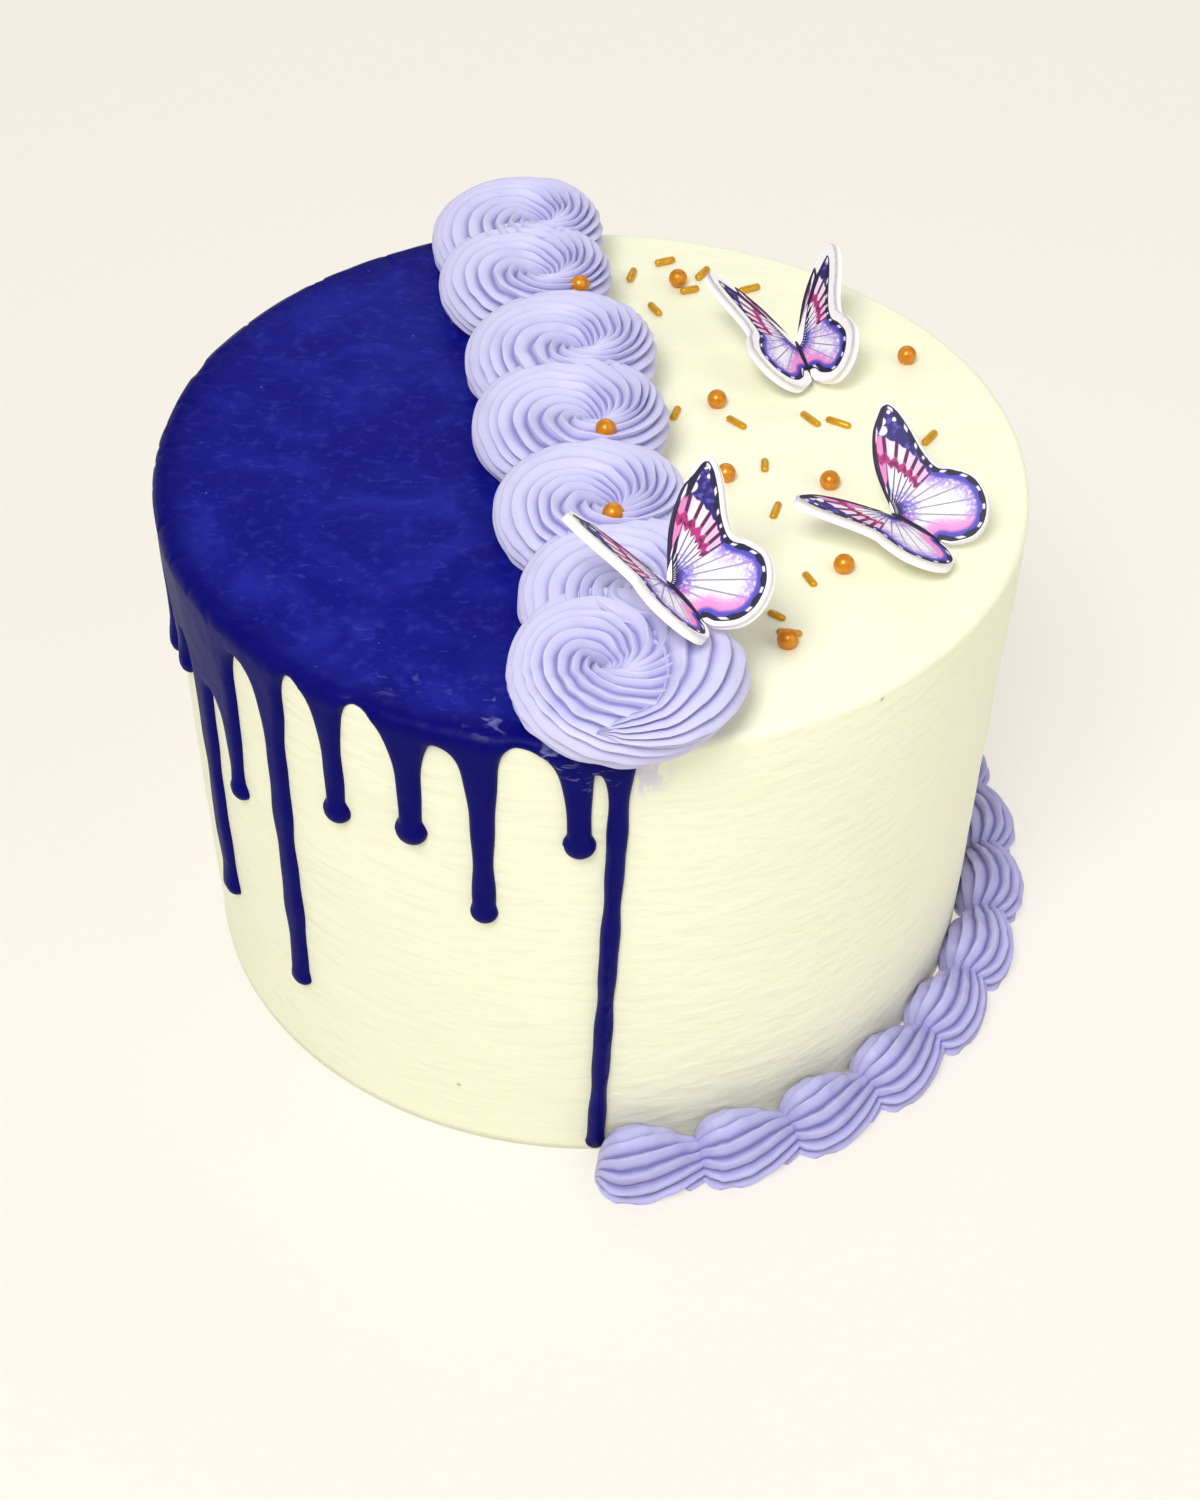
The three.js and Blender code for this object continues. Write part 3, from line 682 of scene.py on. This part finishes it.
def rolled(plane):
    """Back from the plane to u and run."""
    run = np.linalg.norm(plane, axis=-1) - (TOP_RADIUS - RIM)
    degrees = np.rad2deg(np.arctan2(plane[:, 1], plane[:, 0]))
    degrees = np.where(degrees > GLAZE["front"] + 40, degrees - 360, degrees)
    return u_of(degrees), run


def build_glaze(material):
    drips = all_drips()
    spec = GLAZE_MESH
    edge = resample(lower_edge(drips), spec["edge"])
    edge_plane = unrolled(edge[:, 0], edge[:, 1])
    row = row_line()
    outline = np.concatenate([edge_plane, row])
    edge_count = len(edge)

    # Distance to the lower edge, measured on the developed surface
    tree = KDTree(edge_count)
    for i, (u, run) in enumerate(edge):
        tree.insert((u, run, 0), i)
    tree.balance()
    tangent = np.gradient(edge, axis=0)
    normal = np.stack([-tangent[:, 1], tangent[:, 0]], -1)
    normal /= np.linalg.norm(normal, axis=1)[:, None]

    def depth_inside(places):
        """How far each place lies inside the edge; negative outside."""
        found = np.zeros(len(places))
        for k, (u, run) in enumerate(places):
            _, i, away = tree.find((u, run, 0))
            sign = np.dot(places[k] - edge[i], normal[i])
            along = np.dot(places[k] - edge[i], tangent[i]) / np.linalg.norm(tangent[i])
            exact = math.sqrt(max(away * away - min(along * along, 0.08), 0))
            found[k] = -exact if sign > 0 else exact
        return found

    rings = []
    for inset, step in spec["insets"]:
        ring = (edge - normal * inset)[::step]
        keep = depth_inside(ring) > inset * spec["keep"]
        rings.append(ring[keep])
    rows = []
    run = spec["side_from"]
    lowest = edge[:, 1].max()
    end = u_of(GLAZE["back"])
    step = spec["side_step"]
    while run < lowest:
        u = np.arange(0.5, end, step) + (len(rows) % 2) * step / 2
        rows.append(np.stack([u, np.full_like(u, run)], -1))
        run += step
    inside = np.concatenate(rows)
    inside = inside[depth_inside(inside) > spec["side_inset"]]
    top_rows = []
    radius = TOP_RADIUS - RIM - spec["top_inset"]
    spacing = spec["top_step"]
    while radius > 2:
        steps = np.arange(GLAZE["front"], GLAZE["back"], -np.rad2deg(spacing / radius))
        top_rows.append(np.stack([radius * np.cos(radians(steps)), radius * np.sin(radians(steps))], -1))
        radius -= spacing
        spacing = min(spacing * spec["top_growth"], spec["top_coarsest"])
    top = np.concatenate(top_rows)
    middle_x = np.interp(top[:, 1], row[::-1, 1], row[::-1, 0])
    top = top[top[:, 0] < middle_x - spec["row_inset"]]
    developed = np.concatenate(rings + [inside])
    free = np.concatenate([unrolled(developed[:, 0], developed[:, 1]), top])
    flat = np.concatenate([outline, free])

    front = filled(flat, len(outline))
    count = len(flat)
    u, run = rolled(flat)
    depth = np.concatenate([
        np.zeros(edge_count), np.full(len(row), 3.0),
        depth_inside(developed), np.full(len(top), 6.0),
    ])
    u[:edge_count], run[:edge_count] = edge[:, 0], edge[:, 1]

    # A bead along the edge, deeper in the bulbs
    bulb_share = np.zeros(count)
    bulb_size = np.full(count, BEAD["reach"])
    for drip in drips:
        centre = run_of(drip["tip"]) - drip["bulb"]
        beside = np.abs(u - drip_middle(drip, run)) < drip["bulb"] * 2
        share = smoothstep(run, centre - drip["bulb"] * 2.6, centre - drip["bulb"] * 0.3) * beside
        bulb_size = np.where(share > bulb_share, drip["bulb"], bulb_size)
        bulb_share = np.maximum(bulb_share, share)
    reach = lerp(BEAD["reach"], bulb_size, bulb_share)
    crown = lerp(GLAZE["thick"], bulb_size * BEAD["bulb_rise"], bulb_share)
    inner = np.clip(depth / reach, 0, 1)
    out = crown * np.sqrt(1 - (1 - inner) ** 2)
    places = on_surface(degrees_of(u), run, 0)
    calm = smoothstep(depth, 1.5, 8)
    out += 0.18 * calm * ripple(places, 34, SEED + 3) + 0.05 * calm * ripple(places, 11, SEED + 4)
    fold = smoothstep(run, -26, -6) * smoothstep(run, 9, 2)
    crease = np.abs(ripple(places * (1, 1, 2), 17, SEED + 5))
    out -= 0.55 * calm * fold * smoothstep(crease, 0.16, 0)
    out[:edge_count] = -0.15
    points = on_surface(degrees_of(u), run, out)
    on_top = smoothstep(run, 4, -8)

    # The underside is the same outline with few points inside
    every = spec["back_every"]
    back_flat = np.concatenate([outline, free[::every]])
    back = filled(back_flat, len(outline))
    extra = np.arange(len(free))[::every] + len(outline)
    back_points = on_surface(degrees_of(u[extra]), run[extra], -0.6)
    outline_count = len(outline)
    faces = [tuple(face) for face in front]
    for face in back:
        faces.append(tuple(i if i < outline_count else i - outline_count + count for i in face[::-1]))
    points = np.vstack([points, back_points])
    on_top = np.concatenate([on_top, np.zeros(len(back_points))])
    return add_piece("drip_glaze_skin", points, faces, material, ["drip_glaze"],
                     dict(on_top=on_top))


# Piped buttercream

def ridged(phase):
    """The profile of piped ridges, from -1 to 1: a sharp crest at each whole number, a slow fall after
    it, and a steep rise out of the groove to the next. Also how much painted shade each place gets,
    from 0 on the crest to 1 in the groove."""
    share = np.mod(phase + 1e-6, 1)
    fall = np.minimum(share / GROOVE, 1)
    climb = np.clip((share - GROOVE) / (1 - GROOVE), 0, 1)
    height = 1 - 2 * fall ** 1.25 + 2 * climb
    dark = np.where(share < GROOVE, fall ** 2.2, (1 - climb) ** 1.5)
    return height, dark


def ring_point(number, degrees, around, swell):
    """A point on a rosette's ring: its azimuth, the angle round the rope, and how far it stands out."""
    x, y, radius, _, eye_x, eye_y = ROSETTES[number]
    half = ROPE["half"] * radius / ROPE["for_radius"]
    base_height = ROPE["rise"] * -math.sin(radians(ROPE["base"]))
    rise = np.where(around > 90, ROPE["inside_rise"], ROPE["rise"])
    level = base_height + ROPE["rise"] - rise
    out = radius - half + (half + swell) * np.cos(radians(around))
    up = level + (rise + swell) * np.sin(radians(around))
    lean = smoothstep(around, 0, ROPE["inner"])
    point = polar(out, degrees, HEIGHT + GAP + np.maximum(up, 0))
    point[..., 0] += x + eye_x * lean
    point[..., 1] += y + eye_y * lean
    return point


def ridge_azimuth(start, around):
    """The azimuth at which a rosette's ridge passes an angle round the rope."""
    even = start - COURSE["twist"] * around
    return even + COURSE["warp"] * np.sin(radians(even - COURSE["warp_from"]))


def build_rosette(number, material):
    """A star-nozzle swirl: its mesh lines follow the ridges, so that their crests stay sharp."""
    teeth, per_tooth, rows = (ROPE[key] for key in ("teeth", "per_tooth", "rows"))
    columns = teeth * per_tooth
    around = np.linspace(ROPE["base"], ROPE["inner"], rows)
    draw = np.random.default_rng(SEED + number)
    places = np.arange(columns) / columns
    wander = sum(size * np.sin(2 * math.pi * waves * places + draw.uniform(0, 6))
                 for waves, size in RIDGE_WANDER)
    around = around[:, None]
    degrees = ridge_azimuth(ROSETTES[number][3] + 360 * places + wander, around)
    profile, dark = (values[None, :] for values in ridged(np.arange(columns) / per_tooth))
    fade = np.minimum(1, (ROPE["inner"] + ROPE["fade_end"] - around) / ROPE["fade_over"])
    spread = np.gradient(degrees, axis=1) * teeth / 360 * per_tooth
    depth = ROPE["ridge"] * np.clip(1.15 - 0.1 * spread, 0.7, 1.1)
    rim = smoothstep(around, 30, -25) * smoothstep(np.cos(radians(degrees)), 0.1, 0.7)
    swell = depth * fade * (1 - 0.45 * rim) * profile
    grid = ring_point(number, degrees, around, swell)
    grid += 0.14 * ripple(grid, 7, SEED + number)[..., None]
    points = grid.reshape(-1, 3)
    points[:, 2] = np.maximum(points[:, 2], HEIGHT)
    points[:columns, 2] = HEIGHT
    faces = grid_faces(rows, columns, wrap=True)
    top = points[-columns:].mean(0) - (0, 0, ROPE["eye_dip"])
    low = points[:columns].mean(0)
    points = np.vstack([points, [top], [low]])
    faces += fan_faces(list(range((rows - 1) * columns, rows * columns)), len(points) - 2)
    faces += fan_faces(list(range(columns)), len(points) - 1, flip=True)
    # The painted groove shade, one number per point
    groove_shade = np.broadcast_to(dark, (rows, columns)).ravel()
    groove_shade = np.concatenate([groove_shade, [0.5, 0.5]])
    name = f"rosette_{number + 1}"
    return add_piece(f"{name}_swirl", points, faces, material, [name],
                     dict(groove_shade=groove_shade))


def build_tail(material):
    """The rope's end on the front rosette: a ridged band over its ring that narrows to a point."""
    last = len(ROSETTES) - 1
    rows = TAIL["rows"]
    columns = TAIL["ridges"] * TAIL["per_ridge"] + 1
    share = np.linspace(0, 1, rows)[:, None]
    degrees = lerp(TAIL["start"], TAIL["end"], share)
    inner, outer = (np.interp(degrees, *zip(*TAIL[edge])) for edge in ("inner", "outer"))
    across = np.linspace(0, 1, columns)[None, :]
    around = lerp(outer, inner, across)
    profile, dark = ridged(across * TAIL["ridges"])
    dome = np.sqrt(np.maximum(1 - (2 * across - 1) ** 6, 0))
    merge = smoothstep(share, 0, 0.3)
    narrow = smoothstep(share, 1, 0.82)
    swell = (TAIL["thick"] + TAIL["ridge"] * profile) * dome * lerp(0.35, 1, narrow) * merge
    swell = swell - 0.8 * (1 - merge * dome)
    grid = ring_point(last, degrees, around, swell)
    grid += 0.1 * ripple(grid, 6, SEED + 30)[..., None]
    under = ring_point(last, degrees, around, np.full_like(swell, -TAIL["sunk"]))
    points = np.concatenate([grid.reshape(-1, 3), under.reshape(-1, 3)])
    total = rows * columns
    faces = [face[::-1] for face in grid_faces(rows, columns)]
    faces += grid_faces(rows, columns, start=total)
    rim = list(range(columns)) + [j * columns + columns - 1 for j in range(1, rows)]
    rim += list(range(total - 2, total - columns - 1, -1)) + [j * columns for j in range(rows - 2, 0, -1)]
    faces += [(a, b, b + total, a + total) for a, b in zip(rim, rim[1:] + rim[:1])]
    # The painted groove shade, one number per point
    groove_shade = np.tile(np.broadcast_to(dark, (rows, columns)).ravel(), 2)
    return add_piece("rosette_7_tail", points, faces, material, ["rosette_7"],
                     dict(groove_shade=groove_shade))


def build_shell(index, material):
    pitch = (SHELLS["end"] - SHELLS["start"]) / SHELLS["count"]
    head = SHELLS["start"] + index * pitch
    rows = SHELLS["rows"]
    columns = SHELLS["ridges"] * SHELLS["per_ridge"] + 1
    share = (SHELLS["nose"] + SHELLS["reach"] * np.linspace(0, 1, rows) ** 1.4)[:, None]
    shares, sizes = zip(*SHELL_SIZES)
    size = np.interp(share, shares, sizes)
    kernel = np.ones(5) / 5
    padded = np.concatenate([np.full(2, size[0, 0]), size[:, 0], np.full(2, size[-1, 0])])
    size = np.convolve(padded, kernel, "valid")[:, None]
    across = (SHELLS["sweep_from"] + np.linspace(0, SHELLS["sweep"], columns))[None, :]
    ahead = np.maximum(share, 0)
    climb = SHELL_CLIMB["rise"] * ahead ** SHELL_CLIMB["power"]
    climb = climb + SHELL_CLIMB["curl"] * np.exp(-ahead / SHELL_CLIMB["curl_reach"])
    profile, dark = ridged((climb - across) * SHELLS["ridges"] / SHELLS["sweep"])
    wave = SHELLS["ridge"] * profile * np.minimum(size * 1.2, 1)
    side = (SHELLS["half"] * size + wave) * np.cos(radians(across))
    tall = SHELLS["height"] * size
    up = tall * SHELLS["low"] + (tall * (1 - SHELLS["low"]) + wave) * np.sin(radians(across))
    up = np.maximum(up, 0)
    radius = np.maximum(BASE_RADIUS + SHELLS["half"] + side, side_radius(up) - 0.4)
    grid = polar(radius, head + share * pitch, up)
    grid += 0.1 * ripple(grid, 5, SEED + 40 + index)[..., None]
    grid[..., 2] = np.maximum(grid[..., 2], 0)
    points = grid.reshape(-1, 3)
    faces = [face[::-1] for face in grid_faces(rows, columns, wrap=True)]
    points = np.vstack([points, [points[:columns].mean(0)], [points[-columns:].mean(0)]])
    faces += fan_faces(list(range(columns)), len(points) - 2)
    faces += fan_faces(list(range((rows - 1) * columns, rows * columns)), len(points) - 1, flip=True)
    # The painted groove shade, one number per point
    groove_shade = np.concatenate([dark.ravel(), [0.5, 0.5]])
    name = f"shell_{index + 1}"
    return add_piece(f"{name}_piped", points, faces, material, [name],
                     dict(groove_shade=groove_shade))


# Butterflies

def wing_outline(reach):
    """The wing's rounded outline from the front of the fold line to its back."""
    knots = np.array([(0, 0.4), *WING, (-BODY_LENGTH, 0.4)], float)
    knots[:, 1] *= reach
    fine = []
    for i in range(len(knots) - 1):
        before, a, b, after = (knots[max(0, min(len(knots) - 1, i + k))] for k in (-1, 0, 1, 2))
        for t in np.linspace(0, 1, 12, endpoint=False):
            fine.append(0.5 * (2 * a + (b - before) * t + (2 * before - 5 * a + 4 * b - after) * t ** 2
                               + (3 * a - before - 3 * b + after) * t ** 3))
    fine.append(knots[-1])
    return resample(np.array(fine), 0.6)


def wing_mesh(reach):
    """A wing lying flat with its printed side up: points, faces and fields."""
    outline = wing_outline(reach)
    tree = KDTree(len(outline))
    for i, (along, out) in enumerate(outline):
        tree.insert((along, out, 0), i)
    tree.balance()
    spots = np.array([(along, out) for along in np.arange(-21, 18, WING_STEP)
                      for out in np.arange(0.6, 26, WING_STEP)])
    away = np.array([tree.find((along, out, 0))[2] for along, out in spots])
    spots = spots[inside_outline(spots, outline) & (away > WING_STEP * 0.4)]
    flat = np.concatenate([outline, spots])
    faces = filled(flat, len(outline))
    edge = np.array([tree.find((along, out, 0))[2] for along, out in flat])
    return flat, faces, edge, len(outline)


def build_butterfly(butterfly):
    material = wafer_material(f"wafer_{butterfly['name']}", butterfly["border"])
    points, faces = [], []
    fields = dict(along=[], out=[], edge=[], printed=[], ink=[])
    total = 0
    for side, spread, reach in zip((1, -1), butterfly["spread"], butterfly["reach"]):
        flat, front, edge, loop = wing_mesh(reach)
        count = len(flat)
        curl = 0.5 * (flat[:, 1] / 23) ** 2 - 0.3 * np.sin(flat[:, 0] / 9)
        top = np.stack([flat[:, 0], flat[:, 1] * side, curl], -1)
        under = top - (0, 0, WING_THICK)
        angle = side * radians(90 - spread)
        turned = []
        for layer in (top, under):
            y, z = layer[:, 1], layer[:, 2]
            turned.append(np.stack([layer[:, 0], y * math.cos(angle) - z * math.sin(angle),
                                    y * math.sin(angle) + z * math.cos(angle)], -1))
        points += turned
        flip = side < 0
        for face in front:
            upper = tuple(i + total for i in face)
            lower = tuple(i + total + count for i in face[::-1])
            faces.append(upper[::-1] if flip else upper)
            faces.append(lower[::-1] if flip else lower)
        for i in range(loop):
            k = (i + 1) % loop
            quad = (total + i, total + count + i, total + count + k, total + k)
            faces.append(quad if flip else quad[::-1])
        fields["along"] += [flat[:, 0]] * 2
        fields["out"] += [flat[:, 1] / reach] * 2
        fields["edge"] += [edge] * 2
        fields["printed"] += [np.ones(count), np.zeros(count)]
        fields["ink"] += [np.zeros(2 * count)]
        total += 2 * count
    body, body_faces = ball((0, 0, 0), BODY_RADIUS, columns=16, rows=13)
    body = body[:, [2, 0, 1]]
    body[:, 0] = (body[:, 0] / BODY_RADIUS - 1) * BODY_LENGTH / 2
    points.append(body)
    faces += [tuple(i + total for i in face) for face in body_faces]
    for name in fields:
        fields[name].append(np.full(len(body), 1.0 if name == "ink" else 0.0))
    points = np.concatenate(points)
    turn = Matrix.Rotation(radians(butterfly["heading"]), 3, "Z") @ Matrix.Rotation(
        radians(-butterfly["pitch"]), 3, "Y")
    points = points @ np.array(turn).T + butterfly["at"]
    fields = {name: np.concatenate(values) for name, values in fields.items()}
    return add_piece(f"{butterfly['name']}_wings", points, faces, material,
                     [butterfly["name"]], fields)


# Pearls and rods

def ball(centre, radius, columns=24, rows=13):
    """A closed ball as points and faces."""
    lift = radians(np.linspace(-90, 90, rows))[1:-1, None]
    turn = (np.arange(columns) * 2 * math.pi / columns)[None, :]
    grid = np.stack(np.broadcast_arrays(np.cos(lift) * np.cos(turn), np.cos(lift) * np.sin(turn),
                                        np.sin(lift)), -1) * radius
    points = np.vstack([grid.reshape(-1, 3), [(0, 0, -radius)], [(0, 0, radius)]])
    faces = grid_faces(rows - 2, columns, wrap=True)
    faces += fan_faces(list(range(columns)), len(points) - 2, flip=True)
    last = (rows - 3) * columns
    faces += fan_faces(list(range(last, last + columns)), len(points) - 1)
    return points + centre, faces


def joined(parts):
    points, faces, total = [], [], 0
    for part_points, part_faces in parts:
        points.append(part_points)
        faces += [tuple(i + total for i in face) for face in part_faces]
        total += len(part_points)
    return np.concatenate(points), faces


def build_pearls(material):
    places = [(x, y, HEIGHT + PEARL_RADIUS * PEARL_SIT) for x, y in PEARLS] + ROSETTE_PEARLS
    points, faces = joined([ball(place, PEARL_RADIUS) for place in places])
    nodes = ["cake_body", "rosette_2", "rosette_4", "rosette_5"]
    return add_piece("gold_pearls", points, faces, material, nodes)


def rod(x, y, length, degrees):
    """A short sugar rod with rounded ends, lying on the cream."""
    points, faces = ball((0, 0, 0), ROD_RADIUS, columns=16, rows=11)
    stretch = length / 2 - ROD_RADIUS * 0.7
    points = points[:, [2, 0, 1]]
    points[:, 0] += np.sign(points[:, 0]) * stretch
    angle = radians(degrees)
    turned = np.stack([points[:, 0] * math.cos(angle) - points[:, 1] * math.sin(angle),
                       points[:, 0] * math.sin(angle) + points[:, 1] * math.cos(angle),
                       points[:, 2]], -1)
    return turned + (x, y, HEIGHT + ROD_RADIUS * ROD_SIT), faces


def build_rods(material):
    points, faces = joined([rod(*place) for place in RODS])
    return add_piece("gold_rods", points, faces, material, ["cake_body"])


# Camera, light and floor

def build_camera():
    down, roll = radians(CAMERA["down"]), radians(CAMERA["roll"])
    forward = np.array([0, math.cos(down), -math.sin(down)])
    level = np.array([1.0, 0, 0])
    upright = np.cross(level, forward)
    right = math.cos(roll) * level + math.sin(roll) * upright
    up = -math.sin(roll) * level + math.cos(roll) * upright
    data = bpy.data.cameras.new("camera")
    data.lens = CAMERA["lens"]
    data.sensor_width = 36
    camera = bpy.data.objects.new("camera", data)
    matrix = Matrix(np.stack([right, up, -forward], -1).tolist()).to_4x4()
    matrix.translation = [c * MM for c in CAMERA["place"]]
    camera.matrix_world = matrix
    bpy.context.scene.collection.objects.link(camera)
    bpy.context.scene.camera = camera


def add_light(name, place, power, size):
    data = bpy.data.lights.new(name, "AREA")
    data.energy = power
    data.size = size
    light = bpy.data.objects.new(name, data)
    light.location = place
    aim = np.array([0, 0, 0.09]) - place
    light.rotation_euler = Vector(aim.tolist()).to_track_quat("-Z", "Y").to_euler()
    bpy.context.scene.collection.objects.link(light)


def build_stage():
    world = bpy.data.worlds.new("studio")
    bpy.context.scene.world = world
    world.use_nodes = True
    background = world.node_tree.nodes["Background"]
    background.inputs["Color"].default_value = (1, 0.98, 0.95, 1)
    background.inputs["Strength"].default_value = WORLD_LIGHT
    for lamp in LAMPS:
        add_light(*lamp)
    surface = Surface("floor", srgb(164, 161, 155), Roughness=0.9)
    surface.shader.inputs["Emission Color"].default_value = (1, 0.955, 0.87, 1)
    surface.shader.inputs["Emission Strength"].default_value = FLOOR["glow"]
    size = FLOOR["size"]
    mesh = bpy.data.meshes.new("floor")
    corners = [(-size, -size, 0), (size, -size, 0), (size, size, 0), (-size, size, 0)]
    mesh.from_pydata([tuple(c * MM for c in corner) for corner in corners], [], [(0, 1, 2, 3)])
    mesh.materials.append(surface.material)
    floor = bpy.data.objects.new("floor", mesh)
    bpy.context.scene.collection.objects.link(floor)
    bpy.context.scene.view_settings.view_transform = "Standard"


build_camera()
build_stage()
build_frosting(cream_material())
build_glaze(glaze_material())
# The second colour is the deeper tone for the mottle and for the painted groove shade
rosette_look = piped_material("lavender_rosette", srgb(206, 203, 236), srgb(140, 134, 196))
for number in range(len(ROSETTES)):
    build_rosette(number, rosette_look)
build_tail(rosette_look)
# The second colour is the deeper tone for the mottle and for the painted groove shade
shell_look = piped_material("lavender_border", srgb(184, 180, 226), srgb(110, 104, 170))
for index in range(SHELLS["count"]):
    build_shell(index, shell_look)
for butterfly in BUTTERFLIES:
    build_butterfly(butterfly)
build_pearls(gold_material("gold_pearl", srgb(208, 124, 16), srgb(236, 166, 40)))
build_rods(gold_material("gold_rod", srgb(206, 148, 18), srgb(226, 172, 36)))
